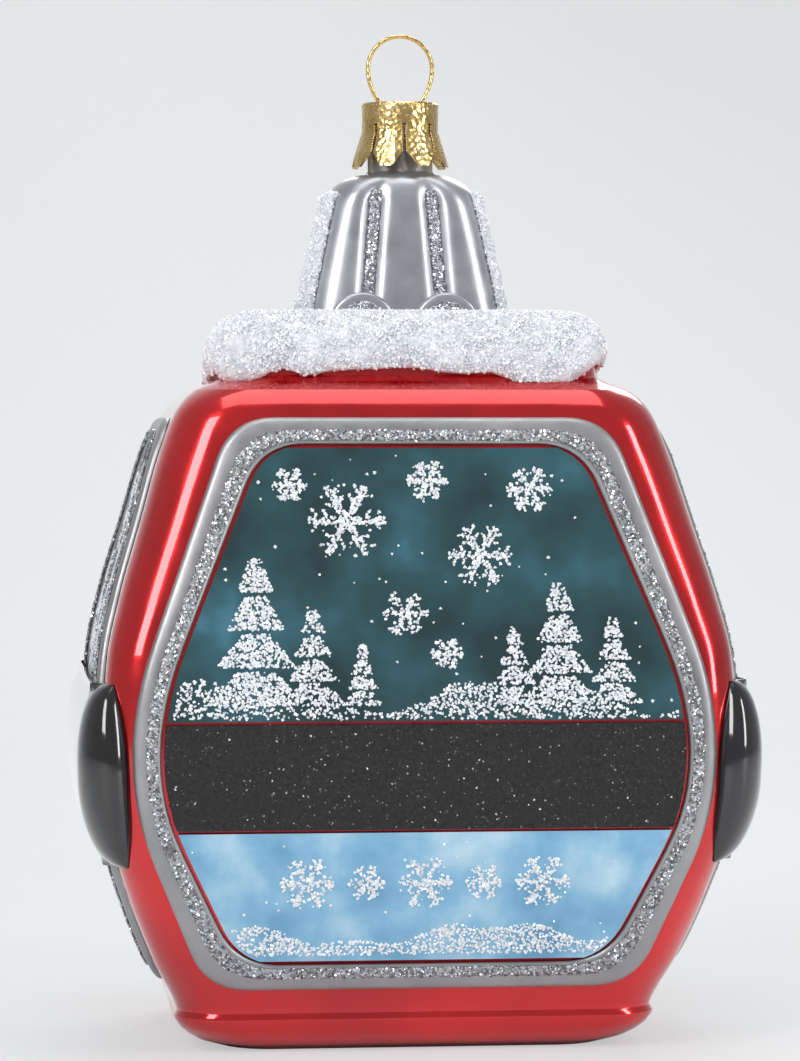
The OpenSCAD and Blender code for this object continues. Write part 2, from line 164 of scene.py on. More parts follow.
def plan(a, b, r, z, flat, steps=10):
    """A rounded rectangle at height z, anticlockwise from +X."""
    arcs = []
    for k, (sx, sy) in enumerate([(1, 1), (-1, 1), (-1, -1), (1, -1)]):
        angles = [math.radians(90 * k + 90 * i / steps) for i in range(steps + 1)]
        arcs.append([np.array([sx * (a - r) + r * math.cos(t), sy * (b - r) + r * math.sin(t), z])
                     for t in angles])
    ring = []
    for k in range(4):
        start, end = arcs[k][-1], arcs[(k + 1) % 4][0]
        ring += arcs[k] + [start + (end - start) * i / flat for i in range(1, flat)]
    return ring


def wall(face, u, z, rise):
    """A point on a cabin wall: face 0 front, 1 right, 2 back, 3 left."""
    across, out = (half_w(z), half_d(z)) if face % 2 == 0 else (half_d(z), half_w(z))
    r = corner(z)
    over = min(abs(u) - (across - r), r)
    reach = out - (r - math.sqrt(r * r - over * over) if over > 0 else 0) + rise
    return [(u, -reach, z), (reach, u, z), (-u, reach, z), (-reach, -u, z)][face]


# ---------------------------------------------------------------- meshes
def add_mesh(name, verts, faces, smooth=True):
    """A mesh object from points in millimetres."""
    mesh = bpy.data.meshes.new(name)
    mesh.from_pydata([tuple(float(c) * MM for c in v) for v in verts], [], faces)
    if smooth:
        mesh.polygons.foreach_set("use_smooth", [True] * len(mesh.polygons))
    obj = bpy.data.objects.new(name, mesh)
    bpy.context.scene.collection.objects.link(obj)
    return obj


def outward(obj):
    """Turns every face of a closed mesh outwards."""
    bm = bmesh.new()
    bm.from_mesh(obj.data)
    bmesh.ops.recalc_face_normals(bm, faces=bm.faces)
    bm.to_mesh(obj.data)
    bm.free()
    return obj


def loft_data(loops, wrap=False, base=0):
    """Points and faces through loops of equal, even length, capped with strips or wrapped round."""
    n, m = len(loops[0]), len(loops)
    verts = [p for loop in loops for p in loop]
    faces = []
    for i in range(m if wrap else m - 1):
        for j in range(n):
            k, i2 = (j + 1) % n, (i + 1) % m
            faces.append((base + i * n + j, base + i * n + k, base + i2 * n + k, base + i2 * n + j))
    if not wrap:
        for j in range(n // 2 - 1):
            q = (j, j + 1, n - 2 - j, n - 1 - j)
            faces.append(tuple(base + v for v in reversed(q)))
            faces.append(tuple(base + (m - 1) * n + v for v in q))
    return verts, faces


def lofts(name, groups, wrap=False):
    """One mesh of several closed lofts."""
    verts, faces = [], []
    for loops in groups:
        v, f = loft_data(loops, wrap, len(verts))
        verts += v
        faces += f
    return outward(add_mesh(name, verts, faces))


def auto_sharp(obj, degrees=40):
    obj.data.set_sharp_from_angle(angle=math.radians(degrees))


def grains(name, centres, size, flat=0.5, ride_normals=None):
    """Closed four-sided crystals at the centres, turned at random or laid along the normals."""
    n = len(centres)
    tet = np.array([[1, 1, 1], [1, -1, -1], [-1, 1, -1], [-1, -1, 1]], float) * 0.58
    tet[:, 2] *= flat
    a = rng.normal(size=(n, 3))
    if ride_normals is not None:
        a = ride_normals + 0.45 * a / np.linalg.norm(a, axis=1)[:, None]
    a /= np.linalg.norm(a, axis=1)[:, None]
    b = np.cross(a, rng.normal(size=(n, 3)))
    b /= np.linalg.norm(b, axis=1)[:, None]
    c = np.cross(a, b)
    s = (size * rng.uniform(0.55, 1.25, n))[:, None, None]
    p = centres[:, None, :] + s * (tet[None, :, 0:1] * b[:, None] + tet[None, :, 1:2] * c[:, None]
                                   + tet[None, :, 2:3] * a[:, None])
    verts = p.reshape(-1, 3)
    tri = np.array([[0, 1, 2], [0, 3, 1], [0, 2, 3], [1, 3, 2]])
    faces = (tri[None] + 4 * np.arange(n)[:, None, None]).reshape(-1, 3)
    return add_mesh(name, verts, faces.tolist(), smooth=False)


def scatter(obj, n, keep=None):
    """n points on a mesh in millimetres, spread by area, with their normals."""
    mesh = obj.data
    mesh.calc_loop_triangles()
    co = np.array([v.co for v in mesh.vertices]) / MM
    tri = np.array([t.vertices for t in mesh.loop_triangles])
    a, b, c = co[tri[:, 0]], co[tri[:, 1]], co[tri[:, 2]]
    cross = np.cross(b - a, c - a)
    area = np.linalg.norm(cross, axis=1)
    if keep is not None:
        area = area * keep((a + b + c) / 3, cross / np.maximum(area, 1e-9)[:, None])
    pick = rng.choice(len(tri), n, p=area / area.sum())
    u, v = rng.random(n), rng.random(n)
    flip = u + v > 1
    u[flip], v[flip] = 1 - u[flip], 1 - v[flip]
    p = a[pick] + u[:, None] * (b - a)[pick] + v[:, None] * (c - a)[pick]
    return p, cross[pick] / np.linalg.norm(cross[pick], axis=1)[:, None]


# ---------------------------------------------------------------- materials
class Shader:
    """A Principled material and short ways to add nodes to it."""

    def __init__(self, name, colour, rough=0.4, metal=0.0, coat=0.0):
        self.mat = bpy.data.materials.new(name)
        self.mat.use_nodes = True
        self.nodes, self.links = self.mat.node_tree.nodes, self.mat.node_tree.links
        self.bsdf = self.nodes["Principled BSDF"]
        self.set("Base Color", (*colour, 1))
        self.set("Roughness", rough)
        self.set("Metallic", metal)
        self.set("Coat Weight", coat)
        self.set("Coat Roughness", 0.04)
        self.where = self.nodes.new("ShaderNodeTexCoord").outputs["Object"]

    def set(self, socket, value):
        self.bsdf.inputs[socket].default_value = value

    def noise(self, scale, detail=4.0):
        node = self.nodes.new("ShaderNodeTexNoise")
        node.inputs["Scale"].default_value = scale
        node.inputs["Detail"].default_value = detail
        self.links.new(self.where, node.inputs["Vector"])
        return node.outputs["Fac"]

    def voronoi(self, scale, output="Color"):
        node = self.nodes.new("ShaderNodeTexVoronoi")
        node.inputs["Scale"].default_value = scale
        self.links.new(self.where, node.inputs["Vector"])
        return node.outputs[output]

    def ramp(self, source, stops):
        node = self.nodes.new("ShaderNodeValToRGB")
        while len(node.color_ramp.elements) < len(stops):
            node.color_ramp.elements.new(0.5)
        for element, (place, colour) in zip(node.color_ramp.elements, stops):
            element.position = place
            element.color = (*colour, 1)
        self.links.new(source, node.inputs["Fac"])
        return node.outputs["Color"]

    def colour(self, source, stops):
        self.links.new(self.ramp(source, stops), self.bsdf.inputs["Base Color"])
        return self

    def roughness(self, source, low, high):
        stops = [(0.3, (low,) * 3), (0.7, (high,) * 3)]
        self.links.new(self.ramp(source, stops), self.bsdf.inputs["Roughness"])
        return self

    def bump(self, source, strength, distance):
        node = self.nodes.new("ShaderNodeBump")
        node.inputs["Strength"].default_value = strength
        node.inputs["Distance"].default_value = distance
        self.links.new(source, node.inputs["Height"])
        self.links.new(node.outputs["Normal"], self.bsdf.inputs["Normal"])
        return self

    def island(self):
        return self.nodes.new("ShaderNodeNewGeometry").outputs["Random Per Island"]


def red_glass():
    s = Shader("red_lacquer", (0.6, 0.006, 0.01), 0.16, 0.7, 1.0)
    s.colour(s.noise(38, 3), [(0.3, (0.48, 0.005, 0.009)), (0.7, (0.76, 0.012, 0.016))])
    s.roughness(s.noise(160, 2), 0.12, 0.24)
    return s.bump(s.noise(55, 2), 0.25, 0.0006).mat


def satin(name, dark, light, rough):
    s = Shader(name, light, rough, 0.75, 0.15)
    s.colour(s.noise(90, 5), [(0.3, dark), (0.7, light)])
    s.roughness(s.noise(400, 3), rough - 0.06, rough + 0.08)
    return s.bump(s.noise(1500, 2), 0.12, 0.00008).mat


def glitter(name, stops, rough=0.22, metal=0.9):
    s = Shader(name, stops[0][1], rough, metal, 0.3)
    return s.colour(s.island(), stops).mat


def glitter_bed(name, dark, light, metal):
    s = Shader(name, light, 0.45, metal, 0.1)
    s.colour(s.voronoi(2600), [(0.25, dark), (0.75, light)])
    return s.bump(s.voronoi(2600, "Distance"), 0.9, 0.00015).mat


def gilt():
    s = Shader("gilt", (0.86, 0.60, 0.22), 0.2, 1.0, 0.2)
    s.colour(s.noise(300, 4), [(0.3, (0.62, 0.40, 0.13)), (0.7, (0.93, 0.70, 0.32))])
    s.roughness(s.noise(700, 3), 0.14, 0.34)
    return s.bump(s.voronoi(1700, "Distance"), 0.55, 0.0002).mat


def black_gloss():
    s = Shader("black_lacquer", (0.006, 0.006, 0.008), 0.13, 0.0, 1.0)
    s.colour(s.noise(70, 3), [(0.3, (0.004, 0.004, 0.005)), (0.7, (0.012, 0.012, 0.015))])
    return s.bump(s.noise(60, 2), 0.2, 0.0004).mat


def dark_pane():
    # Partly painted reflection: the teal lacquer is made dark to stand in for the dark room
    # mirrored by the silvered glass behind it; its lighter patches fall at random.
    s = Shader("dark_pane", (0.01, 0.06, 0.08), 0.14, 0.25, 1.0)
    s.colour(s.noise(75, 3.5), [(0.40, (0.012, 0.045, 0.055)), (0.54, (0.022, 0.085, 0.10)),
                                (0.64, (0.035, 0.13, 0.17)), (0.78, (0.10, 0.30, 0.42))])
    return s.bump(s.noise(120, 2), 0.12, 0.0003).mat


def sky_pane():
    # Partly painted reflection: the blue lacquer is made light to stand in for the white table
    # mirrored by the silvered glass behind it.
    s = Shader("sky_pane", (0.35, 0.6, 0.8), 0.2, 0.2, 0.9)
    s.colour(s.noise(110, 5), [(0.3, (0.09, 0.30, 0.50)), (0.5, (0.22, 0.48, 0.70)),
                               (0.72, (0.55, 0.76, 0.88))])
    return s.bump(s.noise(240, 3), 0.15, 0.0002).mat


def snow_bed():
    s = Shader("snow_bed", (0.78, 0.80, 0.83), 0.6)
    s.colour(s.noise(700, 5), [(0.3, (0.55, 0.58, 0.63)), (0.7, (0.86, 0.88, 0.90))])
    return s.bump(s.noise(1400, 4), 0.9, 0.0004).mat


RED = red_glass()
SATIN = satin("satin_silver", (0.36, 0.37, 0.40), (0.56, 0.57, 0.60), 0.34)
FRAME_PAINT = satin("frame_silver", (0.30, 0.30, 0.31), (0.42, 0.42, 0.43), 0.40)
GILT, BLACK, TEAL_PANE_PAINTED_REFLECTION, BLUE_PANE_PAINTED_REFLECTION = gilt(), black_gloss(), dark_pane(), sky_pane()
SILVER_BED = glitter_bed("silver_bed", (0.16, 0.16, 0.17), (0.5, 0.5, 0.52), 0.8)
BLACK_BED = glitter_bed("black_bed", (0.002, 0.002, 0.002), (0.008, 0.008, 0.009), 0.0)
SNOW_BED = snow_bed()
SILVER_GRAIN = glitter("silver_grain", [
    (0, (0.16, 0.16, 0.18)), (0.4, (0.45, 0.46, 0.48)),
    (0.8, (0.95, 0.95, 0.97)), (1, (0.55, 0.66, 0.85))])
# Black glitter with painted glints: the top few grains in a hundred are coloured grey to white to
# stand in for sparkles of light.
BLACK_GRAIN_PAINTED_GLINTS = glitter("black_grain_painted_glints", [
    (0, (0.002, 0.002, 0.003)), (0.95, (0.009, 0.009, 0.011)),
    (0.985, (0.35, 0.36, 0.38)), (1, (0.85, 0.87, 0.95))], rough=0.5, metal=0.1)
SNOW_GRAIN = glitter("snow_grain", [
    (0, (0.62, 0.66, 0.72)), (0.35, (0.9, 0.92, 0.95)), (0.7, (0.97, 0.97, 0.97)),
    (0.9, (0.80, 0.88, 0.97)), (1, (0.95, 0.86, 0.92))], rough=0.3, metal=0.15)


def dress(obj, material, body, slot, *nodes):
    """Gives a piece its finish and its body, and hides the CAD nodes it stands for."""
    obj.data.materials.clear()
    obj.data.materials.append(material)
    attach(obj, body)
    if nodes:
        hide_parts(*nodes)
    return obj


# ---------------------------------------------------------------- glass
def cabin():
    """The hollow cabin, open at the top under the hanger."""
    zs = sorted({*np.linspace(0, CABIN_H, 90), *(CABIN[:, 0] * CABIN_H)})
    outer = [plan(half_w(z), half_d(z), corner(z), z, 8) for z in zs]
    hole = [plan(HANGER_W - ROOF_LIP, HANGER_D - ROOF_LIP, 3, z, 8)
            for z in (CABIN_H, CABIN_H - GLASS_T)]
    inner = [plan(half_w(z) - GLASS_T, half_d(z) - GLASS_T, corner(z) - GLASS_T, z, 8)
             for z in np.linspace(CABIN_H - GLASS_T, GLASS_T, 30)]
    body = lofts("cabin_body", [outer + hole + inner])
    auto_sharp(body, 50)
    dress(body, RED, "glass", "red_lacquered_glass", "cabin_glass")


def lift_ring(z, inset=0.0, relief=1.0):
    """A hanger section: three rounded lobes with two grooves, front and back."""
    a = lift_w(z)
    ring = plan(a - inset, lift_d(z) - inset, max(lift_corner(z) - inset, 1), z, 44, 8)
    for p in ring:
        if abs(p[1]) > 0.6 * lift_d(z):
            press = max(math.exp(-((p[0] - g * a) / GROOVE_WIDE) ** 2) for g in GROOVES)
            p[1] -= math.copysign(GROOVE_DEEP * relief * press, p[1])
    return ring


def hanger():
    """The hollow hanger with its open neck, as one loft from outside to inside."""
    top = CABIN_H + 0.985 * HANGER_H
    rings = [lift_ring(z, 0, min(1, (top - z) / 3)) for z in np.linspace(CABIN_H + 0.1, top, 34)]
    angles = [math.atan2(p[1], p[0]) for p in rings[-1]]

    def circle(r, z):
        return [np.array([r * math.cos(t), r * math.sin(t), z]) for t in angles]

    mouth, bore = SHOULDER + NECK_H, NECK_R - NECK_T
    neck = [circle(NECK_R + 0.35, SHOULDER - 0.1), circle(NECK_R, SHOULDER + 0.3),
            circle(NECK_R, mouth), circle(bore, mouth), circle(bore, SHOULDER - 1)]
    inner = [lift_ring(z, HANGER_T, 0) for z in np.linspace(top - 2, CABIN_H + 0.1, 8)]
    piece = lofts("hanger_body", [rings + neck + inner], wrap=True)
    auto_sharp(piece, 60)
    dress(piece, SATIN, "glass", "satin_silver_glass", "hanger_glass")


# ---------------------------------------------------------------- windows
def bend(a, p, b, r, steps):
    """A soft corner at p on the way from a to b, starting r before it."""
    a, p, b = (np.array(v, float) for v in (a, p, b))
    s = p + (a - p) * min(r / np.linalg.norm(a - p), 0.45)
    e = p + (b - p) * min(r / np.linalg.norm(b - p), 0.45)
    return [s * (1 - t) ** 2 + p * 2 * t * (1 - t) + e * t * t
            for t in np.linspace(0, 1, steps + 1)]


def outline(top, mid, low, z):
    """A window's outline from its half widths at the three heights z, highest first."""
    p = [(low, z[2]), (mid, z[1]), (top, z[0]), (-top, z[0]), (-mid, z[1]), (-low, z[2])]
    soft = [5, 14, 5, 5, 14, 5]
    arcs = [bend(p[k - 1], p[k], p[(k + 1) % 6], soft[k], 12) for k in range(6)]
    points = []
    for k in range(6):
        start, end = arcs[k][-1], arcs[(k + 1) % 6][0]
        points += arcs[k] + [start + (end - start) * i / 12 for i in range(1, 12)]
    return np.array(points)


def opening(face):
    """Half widths of a window's opening at its top, at its widest and at its foot."""
    k, trim = (WAIST_W, 0) if face % 2 == 0 else (WAIST_D, SIDE_TRIM)
    return 0.505 * k - trim, 0.9 * k - trim, 0.585 * k - trim


def edges(face):
    """The inner and the outer edge of a window's frame, point for point."""
    top, mid, low = opening(face)
    g = FRAME_BAND
    high = [FRAME_Z[0] + 0.9 * g, FRAME_Z[1], FRAME_Z[2] - 0.9 * g]
    return outline(top, mid, low, FRAME_Z), outline(top + g, mid + g - 0.4, low + g, high)


def window_ring(face, rows):
    inner, outer = edges(face)
    return [[wall(face, *(i + (o - i) * share), rise) for i, o in zip(inner, outer)]
            for share, rise in rows]


def windows():
    for face, side in enumerate(["front", "right", "back", "left"]):
        piece = lofts(f"{side}_moulding", [window_ring(face, MOULDING)], wrap=True)
        auto_sharp(piece, 50)
        dress(piece, FRAME_PAINT, "glass", "satin_silver_frame", f"{side}_frame")
    low = FRAME_RISE + LAY
    rows = [(share, low + rise) for share, rise in GLITTER_LINE]
    lines = lofts("glitter_lines", [window_ring(f, rows) for f in range(4)], wrap=True)
    dress(lines, SILVER_BED, "glass", "silver_glitter", "frame_glitter")
    p, n = scatter(lines, 26000)
    crystals = grains("glitter_line_grains", p + 0.03 * n, 0.2, 0.35, n)
    dress(crystals, SILVER_GRAIN, "glass", "silver_glitter")


def open_half(face, z):
    """A pane's half width at height z."""
    right = [p for p in edges(face)[0] if p[0] > 0 and FRAME_Z[2] + 0.01 < p[1] < FRAME_Z[0] - 0.01]
    right.sort(key=lambda p: p[1])
    return float(np.interp(z, [p[1] for p in right], [p[0] for p in right])) - PANE_EDGE


def layer(face, low, high, rise, t, steps=36, cols=44):
    """A sheet of thickness t that lies on a cabin wall within the window."""
    loops = []
    for z in np.linspace(low, high, steps):
        us = np.linspace(-1, 1, cols) * open_half(face, z)
        loops.append([wall(face, u, z, rise + t) for u in us]
                     + [wall(face, u, z, rise) for u in us[::-1]])
    return loops


def belt_face(centres, normals):
    """Keeps the belt's crystals off its thin top and bottom edges."""
    return (np.abs(normals[:, 2]) < 0.6).astype(float)


def panes():
    for name, low, high, t, mat, slot, node in [
        ("upper_glazing", BELT_HIGH + PANE_GAP, FRAME_Z[0] - PANE_EDGE, PANE_T,
         TEAL_PANE_PAINTED_REFLECTION, "dark_pane", "upper_panes"),
        ("lower_glazing", FRAME_Z[2] + PANE_EDGE, BELT_LOW - PANE_GAP, PANE_T,
         BLUE_PANE_PAINTED_REFLECTION, "sky_pane", "lower_panes"),
        ("belt_band", BELT_LOW, BELT_HIGH, PANE_T + GLITTER_T,
         BLACK_BED, "black_glitter", "belt_bands"),
    ]:
        piece = lofts(name, [layer(f, low, high, LAY, t) for f in range(4)])
        auto_sharp(piece, 60)
        dress(piece, mat, "glass", slot, node)
        if name == "belt_band":
            # Black crystals on the belt; a few are coloured pale as painted glints.
            p, n = scatter(piece, 42000, belt_face)
            crystals = grains("belt_grains", p, 0.17, 0.35, n)
            dress(crystals, BLACK_GRAIN_PAINTED_GLINTS, "glass", "black_glitter")


# ---------------------------------------------------------------- glitter motifs on the panes
def in_fir(u, z, cx, base, h):
    """Whether points lie in a fir of four snowy tiers."""
    t = (z - base) / h
    tier = np.floor(np.clip(t, 0, 0.999) * 4)
    within = np.clip(t, 0, 0.999) * 4 - tier
    half = 0.34 * h * (1 - tier / 4.6) * (1 - 0.72 * within)
    return (t > 0) & (t < 1) & (np.abs(u - cx) < half) & (within < 0.88)


def in_flake(u, z, cx, cz, r):
    """Whether points lie in a six-armed snowflake."""
    x, y = u - cx, z - cz
    rr = np.hypot(x, y)
    fold = (np.arctan2(y, x) + math.pi / 6) % (math.pi / 3) - math.pi / 6
    along, off = rr * np.cos(fold), np.abs(rr * np.sin(fold))
    arm = off < 0.065 * r + 0.1
    twig = False
    for place in (0.45, 0.72):
        twig = twig | ((np.abs((along - place * r) - off * 0.6) < 0.13) & (off < 0.30 * r))
    return (rr < r) & (arm | twig)


def in_motif(face, u, z, wide):
    """Which of the random points on a window belong to its motifs."""
    count = len(u)
    ridge = BELT_HIGH + 3.0 + 1.5 * np.sin(u * 0.17 + face) + 0.8 * np.sin(u * 0.43)
    mound = FRAME_Z[2] + 3.6 + 1.1 * np.sin(u * 0.2 + 2 * face) + 0.5 * np.sin(u * 0.6)
    shape = (z > BELT_HIGH + 0.6) & (z < ridge) & (rng.random(count) < 0.45)
    shape |= (z < mound) & (rng.random(count) < 0.5)
    for share, h in FIRS:
        shape |= in_fir(u, z, share * wide, BELT_HIGH + 2.2, h) & (rng.random(count) < 0.9)
    for share, cz, r in FLAKES:
        shape |= in_flake(u, z, share * wide, cz, r)
    shape |= rng.random(count) < 0.002
    return shape & ((z < BELT_LOW - 0.6) | (z > BELT_HIGH + 0.6))


def motifs():
    """White crystals on the panes: firs, snowflakes, drifts and a few loose flecks."""
    levels = np.linspace(FRAME_Z[2], FRAME_Z[0], 60)
    all_points, all_normals = [], []
    for face, outward_way in enumerate([(0, -1, 0), (1, 0, 0), (0, 1, 0), (-1, 0, 0)]):
        count = MOTIF_TRIES[face]
        z = rng.uniform(FRAME_Z[2] + 1.2, FRAME_Z[0] - 1.2, count)
        half = np.interp(z, levels, [open_half(face, v) for v in levels])
        u = rng.uniform(-1, 1, count) * (half - 0.5)
        shape = in_motif(face, u, z, open_half(face, BELT_HIGH + 1))
        rise = LAY + PANE_T + 0.05
        points = [wall(face, a, b, rise) for a, b in zip(u[shape], z[shape])]
        all_points.append(np.array(points))
        all_normals.append(np.tile(outward_way, (len(points), 1)))
    p, n = np.concatenate(all_points), np.concatenate(all_normals).astype(float)
    crystals = grains("window_snow_motifs", p, 0.25, 0.4, n)
    dress(crystals, SNOW_GRAIN, "glass", "snow_glitter")


# ---------------------------------------------------------------- bumpers
def swell(v, e):
    """A bumper's rise at height share v and place e along its wrap, from -1 to 1."""
    return (max(1 - abs(2 * v - 1) ** 2.6, 0.0) ** 0.5) * (max(1 - abs(e) ** 9, 0.0) ** 0.5)


def side_path(z, v, base):
    """A bumper's outer line at height z, from front to back, or its line on the glass."""
    a, b, r = half_w(z), half_d(z), corner(z)
    over = FRAME_RISE + GLITTER_T + 5 * LAY
    start = WRAP_FROM + WRAP_TAPER * abs(2 * v - 1) ** 2.5
    turn = [math.radians(start + (90 - start) * i / 14) for i in range(15)]
    tail = [math.radians((90 - start) * i / 14) for i in range(15)]
    spots = [((a - r, -(b - r)), (math.sin(t), -math.cos(t)), r, LAY) for t in turn]
    spots += [((a, -(b - r - 0.8) * (1 - 2 * i / 24)), (1, 0), 0, over) for i in range(25)]
    spots += [((a - r, b - r), (math.cos(t), math.sin(t)), r, LAY) for t in tail]
    path = []
    for i, (foot, way, reach, low) in enumerate(spots):
        e = 2 * i / (len(spots) - 1) - 1
        rise = low if base else max(BUMPER_RISE * swell(v, e), low + 0.2)
        path.append((foot[0] + way[0] * (reach + rise), foot[1] + way[1] * (reach + rise), z))
    return path


def bumpers():
    right = []
    for v in 0.5 - 0.5 * np.cos(np.linspace(0, math.pi, 30)):
        z = BUMPER_LOW + BUMPER_H * v
        right.append(side_path(z, v, False) + side_path(z, v, True)[::-1])
    left = [[(-x, -y, z) for x, y, z in loop] for loop in right]
    for name, loops in (("right", right), ("left", left)):
        piece = lofts(f"{name}_buffer", [loops])
        auto_sharp(piece, 60)
        dress(piece, BLACK, "glass", "black_lacquer", f"{name}_bumper")


# ---------------------------------------------------------------- snow
def hem(t):
    """How far the snow's lower edge waves and drips at share t of the way round."""
    turn = 2 * math.pi * t
    drips = 1.3 * max(0, math.sin(7 * turn + 0.9)) ** 6
    waves = 0.75 * math.sin(5 * turn + 0.7) + 0.5 * math.sin(9 * turn)
    return waves + 0.35 * math.sin(14 * turn + 1.2) - drips


def roof_snow():
    """A ring of snow round the hanger's foot that hangs over the roof step."""
    a, b = half_w(0.97 * CABIN_H) + LAY + 0.05, half_d(0.97 * CABIN_H) + LAY + 0.05
    t, top = SNOW_SIDE, CABIN_H + SNOW_T
    w, d = HANGER_W + SNOW_SIDE + 3 * LAY, HANGER_D + 4 * LAY
    low = 0.960 * CABIN_H
    # Sections: half width, half depth, corner radius, height, share of the hem's wave.
    rows = [(w, d, 4, CABIN_H + LAY, 0), (a - 1, b - 1, 5.4, CABIN_H + LAY, 0),
            (a, b, 6, CABIN_H - 1, 0), (a, b, 6, low, 1),
            (a + 0.3 * t, b + 0.3 * t, 6, low - 0.3, 1),
            (a + 0.75 * t, b + 0.75 * t, 6, low - 0.1, 1)]
    for i in range(15):
        q = math.radians(90 * i / 14)
        out = 4.6 * (1 - math.cos(q))
        z = low + 0.9 + (top - low - 0.9) * math.sin(q) ** 0.8
        rows.append((a + t - out, b + t - out, 6, z, (1 - i / 14) ** 2))
    rows += [(w + 2, d + 1.5, 4, top, 0), (w, d, 4, top - 0.2, 0)]
    loops = []
    for half_a, half_b, r, z, wave in rows:
        ring = plan(half_a, half_b, r, 0, 34, 12)
        loops.append([(p[0], p[1], z + wave * hem(i / len(ring))) for i, p in enumerate(ring)])
    bed = lofts("snow_cushion", [loops], wrap=True)
    lumps = bpy.data.textures.new("snow_lumps", "CLOUDS")
    lumps.noise_scale = 0.0022
    mod = bed.modifiers.new("lumps", "DISPLACE")
    mod.texture, mod.strength, mod.mid_level = lumps, 0.0005, 0.62
    dress(bed, SNOW_BED, "glass", "snow_glitter", "roof_snow")

    def shown(centres, normals):
        """Full cover on top and at the rim, and a tenth of it underneath."""
        x, y, z = np.abs(centres[:, 0]), np.abs(centres[:, 1]), centres[:, 2]
        clear = (z > CABIN_H + 1) | (x > a - 0.2) | (y > b - 0.2)
        return np.where((normals[:, 2] > -0.3) & clear, 1.0, 0.1)

    p, n = scatter(bed, 46000, shown)
    crystals = grains("snow_crystals", p - 0.02 * n, 0.3, 0.6)
    dress(crystals, SNOW_GRAIN, "glass", "snow_glitter")


def frost_line(spots, r, reach, turn, z):
    return [(turn * (foot[0] + (r + reach) * math.cos(q)),
             turn * (foot[1] + (r + reach) * math.sin(q)), z) for foot, q in spots]


def hanger_snow():
    """A sheet of snow on each narrow side of the hanger."""
    for name, turn in (("right", 1), ("left", -1)):
        loops = []
        for z in np.linspace(CABIN_H + SNOW_T + 0.15, SHOULDER - 2.4, 26):
            a, b, r = lift_w(z), lift_d(z), lift_corner(z)
            spots = [((a - r, -(b - r)), math.radians(SIDE_SNOW_FROM * (1 - k / 9)))
                     for k in range(10)]
            spots += [((a - r, b - r), math.radians(-SIDE_SNOW_FROM * k / 9)) for k in range(10)]
            thick = 0.72 * SNOW_SIDE + 0.12 * math.sin(z * 2.1) * SNOW_SIDE
            loops.append(frost_line(spots, r, thick, turn, z)
                         + frost_line(spots, r, 2 * LAY, turn, z)[::-1])
        bed = lofts(f"{name}_side_frost", [loops])
        auto_sharp(bed, 60)
        dress(bed, SNOW_BED, "glass", "snow_glitter", f"{name}_hanger_snow")
        p, _ = scatter(bed, 9000)
        crystals = grains(f"{name}_side_crystals", p, 0.28, 0.6)
        dress(crystals, SNOW_GRAIN, "glass", "snow_glitter")


def hanger_lines():
    """Glitter in the hanger's grooves, and half rings on its wheel reliefs."""
    strips, rings, domes = [], [], []
    foot = CABIN_H + SNOW_T + 0.5
    hub, face_y = foot - 2.2, HANGER_D * 0.985 + LAY
    for side in (1, -1):
        for g in GROOVES:
            loops = []
            for z in np.linspace(CABIN_H + SNOW_T + 1.2, SHOULDER - 2.2, 22):
                x, near = g * lift_w(z), -(lift_d(z) - 0.75)
                loops.append([(side * (x + dx), side * (near - dy), z) for dx, dy in GROOVE_LINE])
            strips.append(loops)
            cx = g * lift_w(foot) + math.copysign(0.6, g)
            domes.append([[(side * (cx + q * math.cos(t)), side * -(face_y - 0.9 + h),
                            hub + q * math.sin(t)) for t in np.radians(np.arange(0, 360, 10))]
                          for q, h in WHEEL_DOME])
            rings.append([[(side * (cx + q * math.cos(t)), side * -(face_y + h),
                            max(hub + q * math.sin(t), foot - 0.4 + 0.02 * q))
                           for q, h in WHEEL_RING] for t in np.radians(np.linspace(6, 174, 26))])
    wheels = lofts("wheel_reliefs", domes)
    auto_sharp(wheels, 60)
    dress(wheels, SATIN, "glass", "satin_silver_glass")
    for name, groups, node, count in (("groove_glitter", strips, "hanger_glitter", 7000),
                                      ("wheel_rings", rings, "wheel_glitter", 4000)):
        piece = lofts(name, groups)
        dress(piece, SILVER_BED, "glass", "silver_glitter", node)
        p, n = scatter(piece, count)
        crystals = grains(f"{name}_grains", p, 0.19, 0.35, n)
        dress(crystals, SILVER_GRAIN, "glass", "silver_glitter")


# ---------------------------------------------------------------- cap and loop
def bead_places():
    """Beads round the cap's top and down both edges of its petals: x, y, z, radius."""
    low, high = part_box("crown_cap")
    top, tip, r_top, r_tip = high.z / MM, low.z / MM, 4.45, high.x / MM
    beads = []
    for k in range(56):
        t = 2 * math.pi * k / 56
        beads.append((r_top * math.cos(t), r_top * math.sin(t), top - 0.32, 0.19))
    skirt = 0.45 * (top - tip)
    for k in range(PETALS):
        for edge in (-1, 1):
            for i in range(16):
                f = i / 15
                z = top - 2.9 - f * (top - 2.9 - tip - 0.35)
                drop = min(max((top - z - skirt) / (top - tip - skirt), 0), 1)
                r = r_top + (r_tip - 4.55) * drop
                spread = 0.30 if f > 0.72 else 0.335
                narrow = max(0, (f - 0.72) / 0.28)
                t = math.pi / 8 + k * math.pi / 4 + edge * (spread - 0.25 * narrow)
                beads.append((r * math.cos(t), r * math.sin(t), z, 0.15))
    return beads


